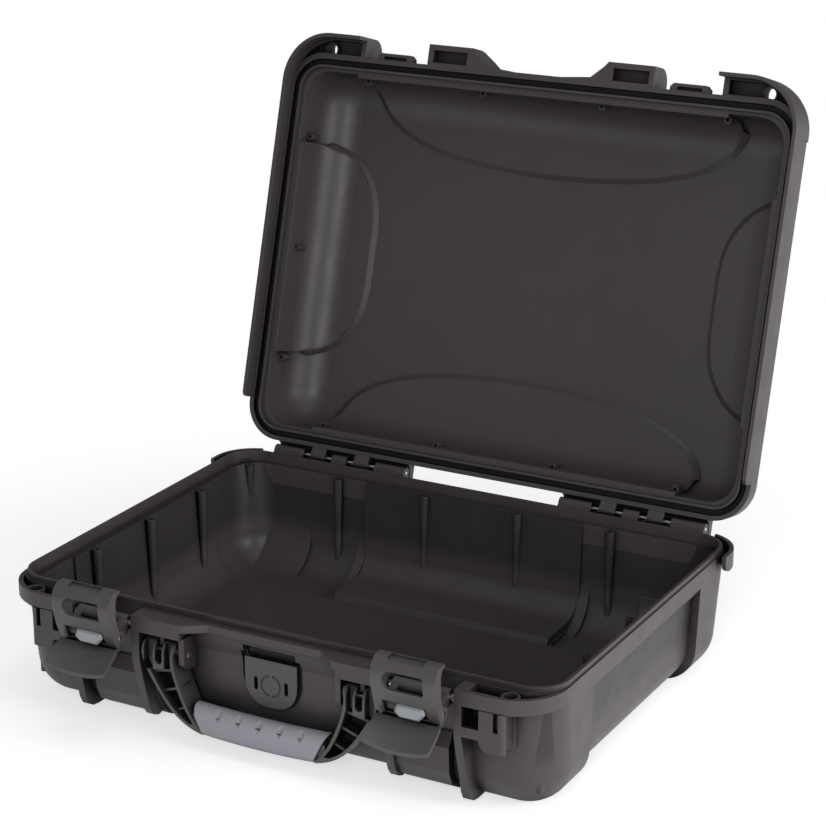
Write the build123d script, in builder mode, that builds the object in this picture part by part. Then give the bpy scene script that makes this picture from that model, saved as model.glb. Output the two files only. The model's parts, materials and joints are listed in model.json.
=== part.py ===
from build123d import *
import os
from math import radians, sin, tan

# Hard case for a laptop, standing open on its feet. X runs along the hinge, +Y towards the hinge,
# +Z up. The origin is on the rest plane, under the middle of the sealing rib. Millimetres.

# Shells, as rounded rectangles about the middle of the sealing rib
seal_length = 440.0
seal_width = 313.5
seal_corner = 24.0
draft = 2.5                      # degrees, of every moulded wall
parting = 94.0                   # height of the base's shoulder above the feet
rib_height = 4.0
rib_thickness = 2.6
base_overhang = 2.5              # from the rib's middle out to the base rim
lid_overhang = 6.2               # from the rib's middle out to the lid rim
closed_gap = 0.3                 # between the two rims when the case is shut

base_band = 14.0                 # height of the base rim band
band_blend = 10.0                # height of the slope under it
side_recess = 7.1                # of the end walls behind the corner columns
front_recess = 3.85              # of the front and back walls behind the corner columns
column_start_x = 97.0
column_start_y = 95.0
column_edge = 30.0               # bottom edge radius of the corner columns
tub_bottom = 3.0
tub_edge = 25.0
cavity_floor = 7.0
cavity_edge = 24.0
cavity_inset_x = 9.0             # from the rib's middle in to the cavity wall
cavity_inset_y = 5.75
ledge_depth = 5.0                # from the parting line down to the boss ledge
corner_pocket = 2.2              # extra room of the cavity in its corners
pocket_start = 1.0               # from a column's edge to its pocket
gusset_round = 34.0              # of the thicker foot of the long walls, in the corners
foot_gussets = ((98.0, 8.0), (150.0, 42.0))     # where each starts, and its length

pad_half = 96.0                  # raised pads along the front and back walls
pad_reach = 97.0
pad_height = 5.0
pad_slope = 3.5
pad_round = 19.0                 # from the pad up into the wall
buried = 1.2                     # how deep an added form starts inside the wall

boss_radius = 3.2
boss_hole = 1.2
screw_depth = 8.0
boss_sink = 0.5                  # boss tops below the ledge
rib_top_radius = 4.0
rib_foot_radius = 2.5
end_boss_y = (-146.0, -73.0, 0.0, 73.0, 146.0)
end_boss_inset = 13.0            # from the rib's middle
wall_bosses = ((42.0, 62.0), (123.0, 75.0))     # distance from the middle, rib length
wall_boss_inset = 7.75
end_rib_length = 72.0

# Front flange, latch bays and brackets
flange_reach = 16.75             # in front of the base rim
flange_height = 12.0
flange_corner = 37.0
flange_inner_end = 64.0
dip_half = 46.0
dip_reach = 5.75
dip_height = 6.0
latch_centre = 130.3
bay_half = 25.4                  # half the clear width between two latch posts
inner_post = 6.4
outer_post = 5.8
padlock_inset = 26.0             # from the rib's end to the padlock hole
padlock_back = 8.5               # from the flange's front edge to the padlock hole
padlock_hole = 4.9
padlock_ring = 6.6
pocket_depth = 8.0
flange_wall = 3.6
ear_inner = 62.0                 # second ear of each handle pivot
ear_thickness = 4.5
bracket_bar = (60.2, 67.7)
bracket_block = (52.3, 82.5)
bracket_bar_width = 12.9
bracket_block_width = 19.6
bracket_slot = 3.6
bracket_slot_low = 68.4
bracket_slot_middle = 12.6       # from the block's inner side
bracket_slot_depth = 10.0
bracket_round = 4.0
padlock_way = 5.7                # free radius under the padlock hole

# Rear guards
guard_gap = 4.5                  # from the base rim to the guard
guard_thickness = 3.3
guard_start_y = 123.0
guard_inset = 15.0               # from the rib's end to where a guard starts
guard_height = 13.5
guard_top = 96.5

# Hinge
hinge_back = 11.25               # from the base rim to the hinge axis
hinge_rise = 2.2                 # from the parting line to the hinge axis
hinge_inset = 150.0              # from the rib's end in to the hinge's inner end
knuckle_radius = 4.6
hinge_pin_radius = 1.75
running_fit = 0.05
end_knuckle = 28.0
mid_knuckle = 13.5
knuckle_gap = 7.0
open_angle = 106.07
heel_reach = 5.5                 # from the hinge axis to the lid's stop face
stop_gap = 0.3

# Lid
lid_band = 16.0
lid_blend = 6.0
lid_top = 152.0
lid_side_recess = 9.6            # of the lid's walls behind its rim band
lid_front_recess = 9.1
lid_edge = 33.0
lid_cavity_inset_x = 7.5
lid_cavity_inset_y = 7.25
lid_wall = 4.0
lid_cavity_edge = 29.0
pad_step = 3.0                   # the lens pads stand in from the lid's skin
pad_bevel = 4.4                  # from a lens's outline in to its pad
groove_width = 5.0
groove_depth = 8.2
gasket_width = 4.6
gasket_height = 3.9
lid_end_boss_y = (-94.0, 0.0, 94.0)
lid_end_boss_inset = 11.0
lid_wall_boss_x = (53.0, 160.0)
lid_wall_boss_inset = 11.75
lid_boss_rise = 10.0             # boss tops above the sealing rib's top
lid_boss_length = 14.0

skirt_gap = 0.6
skirt_drop = 13.5
skirt_end_y = 130.0
skirt_inner_x = 158.0
skirt_round = 5.0
lid_flange_height = 28.0
lid_flange_round = 13.0
lid_block = (58.0, 100.0)        # X range of each middle block
lid_flange_wall = 4.5
lid_pocket_depth = 9.0
eye_collar = 2.5                 # ring that stands on the pocket's floor around the padlock hole
eye_plate = 5.0                  # thickness of that floor at the hole
eye_relief = 8.5                 # radius of the recess behind the hole
lip_thickness = 2.0              # of the wall between the rim groove and the cavity
lip_step = 3.0
keeper_half = 16.5
keeper_depth = 7.5
keeper_height = 7.0
keeper_back = 1.8                # of the keeper bar's root inside the lid rim's front face
keeper_chamfer = 3.0

# Latches
lever_pin_back = 4.0             # behind the flange's front face
lever_pin_drop = 8.0             # under the parting line
lever_pin_radius = 2.5
claw_pin_out = 16.0              # in front of the lever pin
claw_pin_drop = 5.5              # under the lever pin
claw_pin_radius = 2.0
claw_half = 24.7
claw_plate = 2.6
lever_half = 21.6
hub_radius = 5.5
link_radius = 3.7                # of the lever's cheeks about the claw pin, inside the claw's legs
tab_half = 25.5
tab_thickness = 3.5
window_left = -17.5              # the claw's lower window, from its middle
window_right = 15.5
slide_length = 24.2
slide_height = 10.0
slide_depth = 6.2
slide_round = 2.4
slide_bevel = 1.6
slide_gap = 0.3

# Handle
handle_pivot_back = 10.0         # behind the flange's front face
handle_pivot_drop = 26.0         # under the parting line
handle_pin_radius = 2.5
handle_round = 9.9               # of the arm's top about the pivot
arm_back = 9.5                   # from the pivot to the arm's back face
arm_wall = 2.4
lobe_wall = 1.7
hub_floor = 3.2                  # from the pivot forward to the pocket floor at the hub
arm_floor = 6.0                  # from the pivot back to the pocket floor below it
notch_x = 82.3                   # middle of the notch in each arm, where the base's tooth stands
notch_width = 6.0
tooth_width = 3.5
grip_front = 11.5                # from the pivot forward to the grip's front
grip_back = 4.0
grip_round = 4.5
grip_sag = 1.5
grip_brow = 10.0                 # round of the grip's upper front edge
core_half_height = 5.0
core_back = 0.0
core_front = 9.0
core_root = 9.5                  # from the grip's foot on into the arm
finger_grooves = 5
groove_pitch = 17.0
groove_half = 3.6
groove_sink = 1.5
groove_run = 20.0

# Pressure vent
vent_height = 53.4
shield_half = 21.5
shield_thickness = 1.7
shield_standoff = 1.2
vent_shank = 6.0
vent_flange = 9.0
vent_bore = 3.5
vent_membrane_radius = 4.5
vent_membrane_thickness = 0.6
vent_pocket = 1.5
vent_seat = 11.0
vent_gasket_thickness = 1.2
vent_nut_size = 19.0
vent_nut_thickness = 4.0
slot_pitch = 12.5
ring_outer = 8.5
ring_inner = 7.0
ring_depth = 0.6

shield_rise = 22.6               # from the vent's middle up to the shield's top edge
shield_shoulder = 2.6            # from the vent's middle up to the end of its straight sides
shield_tip = 17.0                # from the vent's middle down to its point
shield_margin = 3.0
slot_height = 6.5
slot_gap = 3.2                   # of the slot that lies below the pocket's top edge
slot_depth = 2.8

# Worked out from the above
base_length = seal_length + 2 * base_overhang
base_width = seal_width + 2 * base_overhang
base_corner = seal_corner + base_overhang
padlock_x = seal_length / 2 - padlock_inset
guard_start_x = seal_length / 2 - guard_inset
hinge_start = seal_length / 2 - hinge_inset
lid_length = seal_length + 2 * lid_overhang
lid_width = seal_width + 2 * lid_overhang
lid_corner = seal_corner + lid_overhang
lid_parting = parting + closed_gap
ledge = parting - ledge_depth
rim_y = -base_width / 2
flange_y = rim_y - flange_reach
padlock_y = flange_y + padlock_back
skirt_wall = (lid_length - base_length) / 2 - skirt_gap
lid_flange_y = flange_y - skirt_gap - skirt_wall
lid_rim_y = -lid_width / 2
lid_flange_corner = flange_corner + skirt_gap + skirt_wall
lever_pin_y = flange_y + lever_pin_back
lever_pin_z = parting - lever_pin_drop
claw_pin_y = lever_pin_y - claw_pin_out
claw_pin_z = lever_pin_z - claw_pin_drop
handle_y = flange_y + handle_pivot_back
handle_z = parting - handle_pivot_drop
hinge_y = base_width / 2 + hinge_back
hinge_z = parting + hinge_rise
vent_wall_y = -(base_width / 2 - front_recess - (parting - vent_height) * tan(radians(draft)))
seat_y = -(seal_width / 2 - cavity_inset_y - 3.2)
hinge_axis = Axis((0, hinge_y, hinge_z), (1, 0, 0))
post_inner_x = latch_centre - bay_half - inner_post
post_outer_x = latch_centre + bay_half + outer_post
handle_pin_end = post_inner_x + inner_post - 1
hinge_end = hinge_start + 2 * end_knuckle + 3 * mid_knuckle + 4 * knuckle_gap
first_lid_knuckle = hinge_start + end_knuckle + knuckle_gap
mid_base_knuckle = first_lid_knuckle + mid_knuckle + knuckle_gap
second_lid_knuckle = mid_base_knuckle + mid_knuckle + knuckle_gap
last_base_knuckle = second_lid_knuckle + mid_knuckle + knuckle_gap
base_knuckles = ((hinge_start, end_knuckle), (mid_base_knuckle, mid_knuckle),
                 (last_base_knuckle, end_knuckle))
lid_knuckles = ((first_lid_knuckle, mid_knuckle), (second_lid_knuckle, mid_knuckle))


def drafted_block(length, width, corner, start, end, edge_radius=0.0):
    """Block that narrows by the draft from its outline at start to its outline at end."""
    narrowing = 2 * abs(end - start) * tan(radians(draft))
    with BuildPart() as block:
        with BuildSketch(Plane.XY.offset(start)):
            RectangleRounded(length, width, corner)
        with BuildSketch(Plane.XY.offset(end)):
            RectangleRounded(length - narrowing, width - narrowing, max(corner, edge_radius + 4))
        loft()
        if edge_radius:
            far_end = 0 if end < start else -1
            fillet(block.edges().group_by(Axis.Z)[far_end], radius=edge_radius)
    return block.part


def slope_block(size_a, corner_a, height_a, size_b, corner_b, height_b):
    """Loft between two rounded rectangles at two heights."""
    with BuildPart() as block:
        with BuildSketch(Plane.XY.offset(height_a)):
            RectangleRounded(*size_a, corner_a)
        with BuildSketch(Plane.XY.offset(height_b)):
            RectangleRounded(*size_b, corner_b)
        loft()
    return block.part


def plate_x(points, start, width, round_vertices=0.0):
    """Plate across X from start, with its outline given as (Y, Z) points."""
    with BuildPart() as plate:
        with BuildSketch(Plane.YZ.offset(start)) as outline:
            with BuildLine():
                Polyline(*points, close=True)
            make_face()
            if round_vertices:
                fillet(outline.vertices(), radius=round_vertices)
        extrude(amount=width)
    return plate.part


def both_sides(part):
    """The part and its mirror image in the YZ plane."""
    return [part, mirror(part, about=Plane.YZ)]


def cylinder_x(y, z, radius, start, length):
    """Cylinder along X."""
    with BuildPart() as bar:
        with BuildSketch(Plane.YZ.offset(start)):
            with Locations((y, z)):
                Circle(radius)
        extrude(amount=length)
    return bar.part


def seal_ring(width):
    """Ring of the given width along the middle line of the sealing rib."""
    with BuildSketch() as ring:
        RectangleRounded(seal_length + width, seal_width + width, seal_corner + width / 2)
        RectangleRounded(seal_length - width, seal_width - width, seal_corner - width / 2, mode=Mode.SUBTRACT)
    return ring.sketch


def beside(points, distance):
    """The points moved sideways, to the left of their direction of travel."""
    moved = []
    for index, (x, z) in enumerate(points):
        before = Vector(*points[max(index - 1, 0)])
        after = Vector(*points[min(index + 1, len(points) - 1)])
        along = (after - before).normalized()
        moved.append((x - along.Y * distance, z + along.X * distance))
    return moved


def shield_outline(half, margin=0.0):
    """Shield about the vent's middle: flat top, straight sides and a curved point."""
    with BuildSketch() as shield:
        with BuildLine():
            top = shield_rise + min(margin, 0.5)
            Polyline((-half, shield_shoulder), (-half, top), (half, top), (half, shield_shoulder))
            Spline((half, shield_shoulder), (0.72 * half, -0.73 * shield_tip), (0, -shield_tip - margin))
            Spline((0, -shield_tip - margin), (-0.72 * half, -0.73 * shield_tip), (-half, shield_shoulder))
        make_face()
    return shield.sketch


def flange_pocket(length, front_y, corner, wall, rim_width, rim_corner, start_x):
    """Hollows between a flange's outer wall and the rim, one at each end."""
    with BuildSketch() as pocket:
        with Locations((0, front_y + wall)):
            Rectangle(length - 2 * wall, -front_y, align=(Align.CENTER, Align.MIN))
        fillet(pocket.vertices().group_by(Axis.Y)[0], radius=corner - wall)
        RectangleRounded(length + 2, rim_width + 2, rim_corner + 1, mode=Mode.SUBTRACT)
        Rectangle(2 * start_x, -4 * front_y, mode=Mode.SUBTRACT)
    return pocket.sketch


def wall_foot(visible, deeper=0.0):
    """Section, in Y and Z, of a form on the foot of the cavity's long wall, from its visible line.

    The form starts inside the wall, along the round of the cavity's foot, which lies deeper by
    the stated amount in the corners."""
    centre_z = cavity_floor + cavity_edge
    centre_y = cavity_width / 2 - (ledge - centre_z) * tan(radians(draft)) - cavity_edge
    reach = cavity_edge + deeper + buried
    slant = reach * sin(radians(45))
    with BuildSketch() as section:
        with BuildLine():
            add(visible)
            Line(visible @ 1, (centre_y + reach, centre_z))
            ThreePointArc((centre_y + reach, centre_z), (centre_y + slant, centre_z - slant),
                          (centre_y, centre_z - reach))
            Line((centre_y, centre_z - reach), visible @ 0)
        make_face()
        mirror(about=Plane.YZ)
    return section.sketch


def quarter(foot_y, foot_z, radius):
    """Round that leaves a floor at foot_y, foot_z and climbs into a wall."""
    slant = radius * sin(radians(45))
    return ThreePointArc((foot_y, foot_z), (foot_y + slant, foot_z + radius - slant),
                         (foot_y + radius, foot_z + radius))


def opened(part):
    """A lid part, modelled shut, turned to where it stands open."""
    return part.rotate(hinge_axis, -open_angle)


# ---------------------------------------------------------------- base shell
tub_length = base_length - 2 * side_recess
tub_width = base_width - 2 * front_recess
band_low = parting - base_band
blend_low = band_low - band_blend
band_shrink = 2 * base_band * tan(radians(draft))
blend_shrink = 2 * (parting - blend_low) * tan(radians(draft))

with BuildPart() as corner_columns:
    add(drafted_block(base_length, base_width, base_corner, parting, 0, column_edge))
    with BuildSketch():
        Rectangle(2 * column_start_x, base_width)
        Rectangle(base_length, 2 * column_start_y)
    extrude(amount=parting, mode=Mode.SUBTRACT)

with BuildPart() as front_flange:
    with BuildSketch(Plane.XY.offset(parting - flange_height)) as flange_plan:
        with Locations((0, flange_y)):
            Rectangle(base_length, flange_reach + base_corner, align=(Align.CENTER, Align.MIN))
        fillet(flange_plan.vertices().group_by(Axis.Y)[0], radius=flange_corner)
        with Locations((-latch_centre, flange_y), (latch_centre, flange_y)):
            Rectangle(2 * bay_half, flange_reach, align=(Align.CENTER, Align.MIN), mode=Mode.SUBTRACT)
        with Locations((0, flange_y)):
            Rectangle(2 * flange_inner_end, flange_reach, align=(Align.CENTER, Align.MIN),
                      mode=Mode.SUBTRACT)
    extrude(amount=flange_height)
    fillet(front_flange.edges().group_by(Axis.Z)[0].filter_by(GeomType.CIRCLE), radius=2)
    with BuildSketch(Plane.XY.offset(parting - pocket_depth)):
        add(flange_pocket(base_length, flange_y, flange_corner, flange_wall, base_width, base_corner,
                          post_outer_x + flange_wall))
    extrude(amount=pocket_depth, mode=Mode.SUBTRACT)
    with Locations((padlock_x, padlock_y, parting), (-padlock_x, padlock_y, parting)):
        Cylinder(padlock_ring, flange_height, align=(Align.CENTER, Align.CENTER, Align.MAX))
    with BuildSketch(Plane.XY.offset(parting - dip_height)):
        with BuildLine():
            Polyline(
                (-flange_inner_end, rim_y), (-flange_inner_end, flange_y),
                (-flange_inner_end + 4, flange_y + 1.5),
                (-dip_half, rim_y - dip_reach), (dip_half, rim_y - dip_reach),
                (flange_inner_end - 4, flange_y + 1.5), (flange_inner_end, flange_y),
                (flange_inner_end, rim_y), close=True,
            )
        make_face()
    extrude(amount=dip_height)

# Posts that carry each latch, from the flange down to the feet
post_head = ((rim_y + 12, 40), (rim_y + 12, parting), (flange_y, parting), (flange_y, 60),
             (flange_y + 5, 39), (flange_y + 9, 25))
inner_foot = ((flange_y + 12, 16), (flange_y + 16, 10.5), (flange_y + 22, 8), (rim_y + 24, 12))
outer_foot = ((flange_y + 11.5, 13), (flange_y + 15, 6.5), (flange_y + 20, 3.5), (flange_y + 27, 2.5),
              (flange_y + 38, 2.5), (rim_y + 24, 12))
with BuildPart() as latch_mounts:
    add(both_sides(plate_x(post_head + inner_foot, post_inner_x, inner_post)))
    add(both_sides(plate_x(post_head + outer_foot, latch_centre + bay_half, outer_post)))
    # panel that closes the lower part of each bay
    panel_outline = (
        (rim_y + 12, 58), (rim_y, 53), (flange_y + 11, 43), (flange_y + 12, 24), (flange_y + 17, 13),
        (flange_y + 28, 6), (rim_y + 28, 10),
    )
    add(both_sides(plate_x(panel_outline, latch_centre - bay_half - 0.5, 42)))
    # bracket outside each latch: a bar and a grooved block
    bar_outline = ((rim_y + 8, bracket_bar[0]), (flange_y, bracket_bar[0]), (flange_y, bracket_bar[1]),
                   (rim_y + 8, bracket_bar[1]))
    add(both_sides(plate_x(bar_outline, post_outer_x - 0.5, bracket_bar_width + 1)))
    # second ear of each handle pivot, and the tooth between the ears
    ear_top = handle_z + 14.5
    ear_outline = ((rim_y + 8, ear_top), (handle_y - 7, ear_top), (handle_y - 7, handle_z - 6),
                   (handle_y - 2, handle_z - 11), (rim_y + 8, handle_z - 12))
    add(both_sides(plate_x(ear_outline, ear_inner, ear_thickness)))
    tooth_tip = handle_z + handle_pin_radius + 1
    tooth_outline = ((handle_y + 1, ear_top), (handle_y - 4, ear_top), (handle_y - 4, tooth_tip + 1.5),
                     (handle_y - 1, tooth_tip), (handle_y + 1, tooth_tip))
    add(both_sides(plate_x(tooth_outline, notch_x - tooth_width / 2, tooth_width)))

# Slotted block of each bracket, free behind its face for the padlock
block_start_x = post_outer_x + bracket_bar_width
block_height = bracket_block[1] - bracket_block[0]
with BuildPart() as bracket_blocks:
    with BuildSketch(Plane.XZ.offset(-rim_y - 8)) as block_front:
        for side in (1, -1):
            with Locations((side * (block_start_x + bracket_block_width / 2), sum(bracket_block) / 2)):
                Rectangle(bracket_block_width, block_height)
        inner_low = block_front.vertices().group_by(Axis.Z)[0].sort_by(lambda corner: abs(corner.X))[:2]
        fillet(inner_low, radius=8)
    extrude(amount=flange_reach + 8)
    front_uprights = bracket_blocks.edges().filter_by(Axis.Z).group_by(Axis.Y)[0]
    fillet(front_uprights.sort_by(lambda edge: abs(edge.center().X))[-2:], radius=bracket_round)
    with BuildSketch(Plane.XY.offset(bracket_slot_low)):
        for side in (1, -1):
            with Locations((side * (block_start_x + bracket_slot_middle), flange_y)):
                Rectangle(bracket_slot, 2 * bracket_slot_depth)
    extrude(amount=block_height, mode=Mode.SUBTRACT)
    with Locations((padlock_x, padlock_y, 0), (-padlock_x, padlock_y, 0)):
        Cylinder(padlock_way, 2 * parting, mode=Mode.SUBTRACT)

# Guards that wrap the rear corners outside the rim
with BuildPart() as rear_guards:
    guard_in = 2 * guard_gap
    guard_out = guard_in + 2 * guard_thickness
    with BuildSketch(Plane.XY.offset(guard_top - guard_height)):
        guard_corner = base_corner + guard_gap
        RectangleRounded(base_length + guard_out, base_width + guard_out - 1, guard_corner + guard_thickness)
        RectangleRounded(base_length + guard_in, base_width + guard_in - 1, guard_corner, mode=Mode.SUBTRACT)
        with Locations((0, guard_start_y)):
            Rectangle(2 * base_length, 2 * base_width, align=(Align.CENTER, Align.MAX), mode=Mode.SUBTRACT)
        Rectangle(2 * guard_start_x, 2 * base_width, mode=Mode.SUBTRACT)
    extrude(amount=guard_height)
    start_faces = rear_guards.faces().filter_by(Axis.Y).group_by(Axis.Y)[0]
    low_edges = start_faces.edges().filter_by(Axis.X).group_by(Axis.Z)[0]
    fillet(low_edges, radius=8)
    with BuildSketch(Plane.XY.offset(guard_top - guard_height + 2)):
        RectangleRounded(base_length + guard_in + 1, base_width + guard_in, base_corner + guard_gap)
        with Locations((0, guard_start_y + 12)):
            Rectangle(2 * base_length, 2 * base_width, align=(Align.CENTER, Align.MAX), mode=Mode.SUBTRACT)
        Rectangle(2 * guard_start_x, 2 * base_width, mode=Mode.SUBTRACT)
    extrude(amount=3)

# Hinge arms and knuckles of the base, and the shelf that stops the open lid
arm_outline = (
    (hinge_y - 15, lid_parting - 0.6), (hinge_y - 7.5, lid_parting - 0.6), (hinge_y - 4, hinge_z + 1.5),
    (hinge_y, hinge_z), (hinge_y + knuckle_radius, hinge_z), (hinge_y + 3, hinge_z - 8),
    (hinge_y - 2.5, hinge_z - 14), (hinge_y - 15, hinge_z - 18),
)
stop_slope = tan(radians(open_angle - 90))
stop_fall = (heel_reach + stop_gap) / sin(radians(open_angle))
shelf_back = 3.5
shelf_outline = (
    (hinge_y - 15, hinge_z - 18), (hinge_y - 15, hinge_z - stop_fall + 13 * stop_slope),
    (hinge_y - 13, hinge_z - stop_fall + 13 * stop_slope),
    (hinge_y + shelf_back, hinge_z - stop_fall - shelf_back * stop_slope),
    (hinge_y + shelf_back, hinge_z - 10),
    (hinge_y - 2.5, hinge_z - 14),
)
with BuildPart() as base_hinge:
    for start, width in base_knuckles:
        add(both_sides(plate_x(arm_outline, start, width)))
        add(both_sides(cylinder_x(hinge_y, hinge_z, knuckle_radius, start, width)))
    add(both_sides(plate_x(shelf_outline, hinge_start, hinge_end - hinge_start)))

cavity_length = seal_length - 2 * cavity_inset_x
cavity_width = seal_width - 2 * cavity_inset_y
with BuildPart() as corner_pockets:
    add(drafted_block(cavity_length + 2 * corner_pocket, cavity_width + 2 * corner_pocket, seal_corner,
                      ledge, cavity_floor - corner_pocket, cavity_edge + corner_pocket))
    with BuildSketch():
        Rectangle(2 * (column_start_x + pocket_start), base_width)
        Rectangle(base_length, 2 * (column_start_y + pocket_start))
    extrude(amount=parting, mode=Mode.SUBTRACT)

end_boss_x = seal_length / 2 - end_boss_inset
wall_boss_y = seal_width / 2 - wall_boss_inset
boss_top = ledge - boss_sink
corners = [(side, way) for side in (1, -1) for way in (1, -1)]
base_bosses = {end_rib_length: [(side * end_boss_x, y, boss_top) for side in (1, -1) for y in end_boss_y]}
for boss_x, length in wall_bosses:
    base_bosses[length] = [(side * boss_x, way * wall_boss_y, boss_top) for side, way in corners]

with BuildPart() as boss_ribs:
    for length, places in base_bosses.items():
        with Locations(*places):
            Cone(rib_foot_radius, rib_top_radius, length, align=(Align.CENTER, Align.CENTER, Align.MAX))

foot_wall_y = cavity_width / 2 - (ledge - cavity_floor - cavity_edge) * tan(radians(draft))
pad_top = cavity_floor + pad_height
pad_line = Wire([
    Edge.make_line((pad_reach - pad_slope, cavity_floor - buried), (pad_reach, pad_top)),
    Edge.make_line((pad_reach, pad_top), (foot_wall_y - pad_round, pad_top)),
    quarter(foot_wall_y - pad_round, pad_top, pad_round).edge(),
])
gusset_line = quarter(foot_wall_y + corner_pocket - gusset_round, cavity_floor - corner_pocket, gusset_round)

with BuildPart() as base_shell:
    add(drafted_block(tub_length, tub_width, base_corner, parting, tub_bottom, tub_edge))
    add(corner_columns)
    add(drafted_block(base_length, base_width, base_corner, parting, band_low))
    add(slope_block((base_length - band_shrink, base_width - band_shrink), base_corner, band_low,
                    (tub_length - blend_shrink, tub_width - blend_shrink), base_corner, blend_low))
    add(front_flange)
    add(latch_mounts)
    add(bracket_blocks)
    add(rear_guards)
    add(base_hinge)
    # sealing rib
    with BuildSketch(Plane.XY.offset(parting)):
        RectangleRounded(seal_length + rib_thickness, seal_width + rib_thickness,
                         seal_corner + rib_thickness / 2)
    extrude(amount=rib_height)
    # inside: boss ledge, cavity and its corner pockets
    with BuildSketch(Plane.XY.offset(ledge)):
        RectangleRounded(seal_length - rib_thickness, seal_width - rib_thickness,
                         seal_corner - rib_thickness / 2)
    extrude(amount=ledge_depth + rib_height, mode=Mode.SUBTRACT)
    add(drafted_block(cavity_length, cavity_width, seal_corner, ledge, cavity_floor, cavity_edge),
        mode=Mode.SUBTRACT)
    add(corner_pockets, mode=Mode.SUBTRACT)
    # raised pads and gussets at the foot of the long walls
    with BuildSketch(Plane.YZ.offset(-pad_half)):
        add(wall_foot(pad_line))
    extrude(amount=2 * pad_half)
    for start, length in foot_gussets:
        with BuildSketch(Plane.YZ.offset(start), Plane.YZ.offset(-start - length)):
            add(wall_foot(gusset_line, corner_pocket))
        extrude(amount=length)
    # screw bosses on tapered wall ribs
    add(boss_ribs)
    with Locations(*sum(base_bosses.values(), [])):
        Cylinder(boss_hole, screw_depth, align=(Align.CENTER, Align.CENTER, Align.MAX), mode=Mode.SUBTRACT)
    # flat seat for the vent's seal, inside the front wall
    with BuildSketch(Plane.XZ.offset(-seat_y)):
        with Locations((0, vent_height)):
            Circle(vent_seat)
    extrude(amount=3)
    # padlock holes, pin bores
    with Locations((padlock_x, padlock_y, parting), (-padlock_x, padlock_y, parting)):
        Cylinder(padlock_hole, 2 * flange_height + 2, mode=Mode.SUBTRACT)
    for y, z, radius, start, end in (
        (lever_pin_y, lever_pin_z, lever_pin_radius, post_inner_x, post_outer_x),
        (handle_y, handle_z, handle_pin_radius, ear_inner, handle_pin_end),
        (hinge_y, hinge_z, hinge_pin_radius, hinge_start, hinge_end),
    ):
        add(both_sides(cylinder_x(y, z, radius, start, end - start)), mode=Mode.SUBTRACT)
    # vent: recess that follows the shield, slot above it and the bore
    with BuildSketch(Plane.XZ.offset(-vent_wall_y - vent_pocket)):
        with Locations((0, vent_height)):
            add(shield_outline(shield_half + shield_margin, shield_margin))
    extrude(amount=vent_pocket + band_blend, mode=Mode.SUBTRACT)
    with BuildSketch(Plane.XZ.offset(-vent_wall_y - slot_depth)):
        with Locations((0, vent_height + shield_rise - slot_gap)):
            Rectangle(2 * shield_half, slot_gap + slot_height, align=(Align.CENTER, Align.MIN))
    extrude(amount=10, mode=Mode.SUBTRACT)
    with BuildSketch(Plane.XZ):
        with Locations((0, vent_height)):
            Circle(vent_shank)
    extrude(amount=base_width, mode=Mode.SUBTRACT)

base_shell.part.label = "base_shell"
export_step(base_shell.part, "parts/base_shell.step")

# ---------------------------------------------------------------- lid, modelled shut
lens_end = ((13.0, 93.0), (42.0, 80.0), (63.0, 48.0), (66.5, 0.0))       # inset from the rib, Y
lens_wall = ((168.0, 19.75), (157.0, 37.75), (131.0, 54.75), (103.0, 63.75), (40.0, 72.25), (0.0, 73.75))
half_length = seal_length / 2
half_width = seal_width / 2
lid_floor = lid_top - lid_wall
band_top = lid_parting + lid_band
band_taper = 2 * lid_band * tan(radians(draft))
wall_length = lid_length - 2 * lid_side_recess
wall_width = lid_width - 2 * lid_front_recess
blend_taper = 2 * (lid_band + lid_blend) * tan(radians(draft))
lid_cavity_length = seal_length - 2 * lid_cavity_inset_x
lid_cavity_width = seal_width - 2 * lid_cavity_inset_y
flange_low = lid_parting
flange_root = lid_rim_y + 8

end_curve = [(half_length - inset, y) for inset, y in lens_end]
end_curve += [(half_length - inset, -y) for inset, y in lens_end[-2::-1]]
wall_curve = [(x, half_width - inset) for x, inset in lens_wall]
wall_curve += [(-x, half_width - inset) for x, inset in lens_wall[-2::-1]]
end_curve = beside(end_curve, pad_bevel)
wall_curve = beside(wall_curve, -pad_bevel)
with BuildPart() as lens_prisms:
    with BuildSketch(Plane.XY.offset(lid_parting)):
        with BuildLine():
            Spline(*end_curve)
            Polyline(end_curve[-1], (lid_length, end_curve[-1][1]), (lid_length, end_curve[0][1]),
                     end_curve[0])
        make_face()
        with BuildLine():
            Spline(*wall_curve)
            Polyline(wall_curve[-1], (wall_curve[-1][0], lid_width), (wall_curve[0][0], lid_width),
                     wall_curve[0])
        make_face()
        mirror(about=Plane.YZ)
        mirror(about=Plane.XZ)
    extrude(amount=lid_top - lid_parting + 1)


def with_lens_pads(length, width, corner, end, edge_radius):
    """Drafted block whose skin is stepped in over the lens pads."""
    with BuildPart() as body:
        add(drafted_block(length, width, corner, lid_parting, end, edge_radius))
        add(lens_prisms, mode=Mode.SUBTRACT)
        add(drafted_block(length - 2 * pad_step, width - 2 * pad_step, corner - pad_step,
                          lid_parting, end - pad_step, edge_radius))
    return body.part


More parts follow.
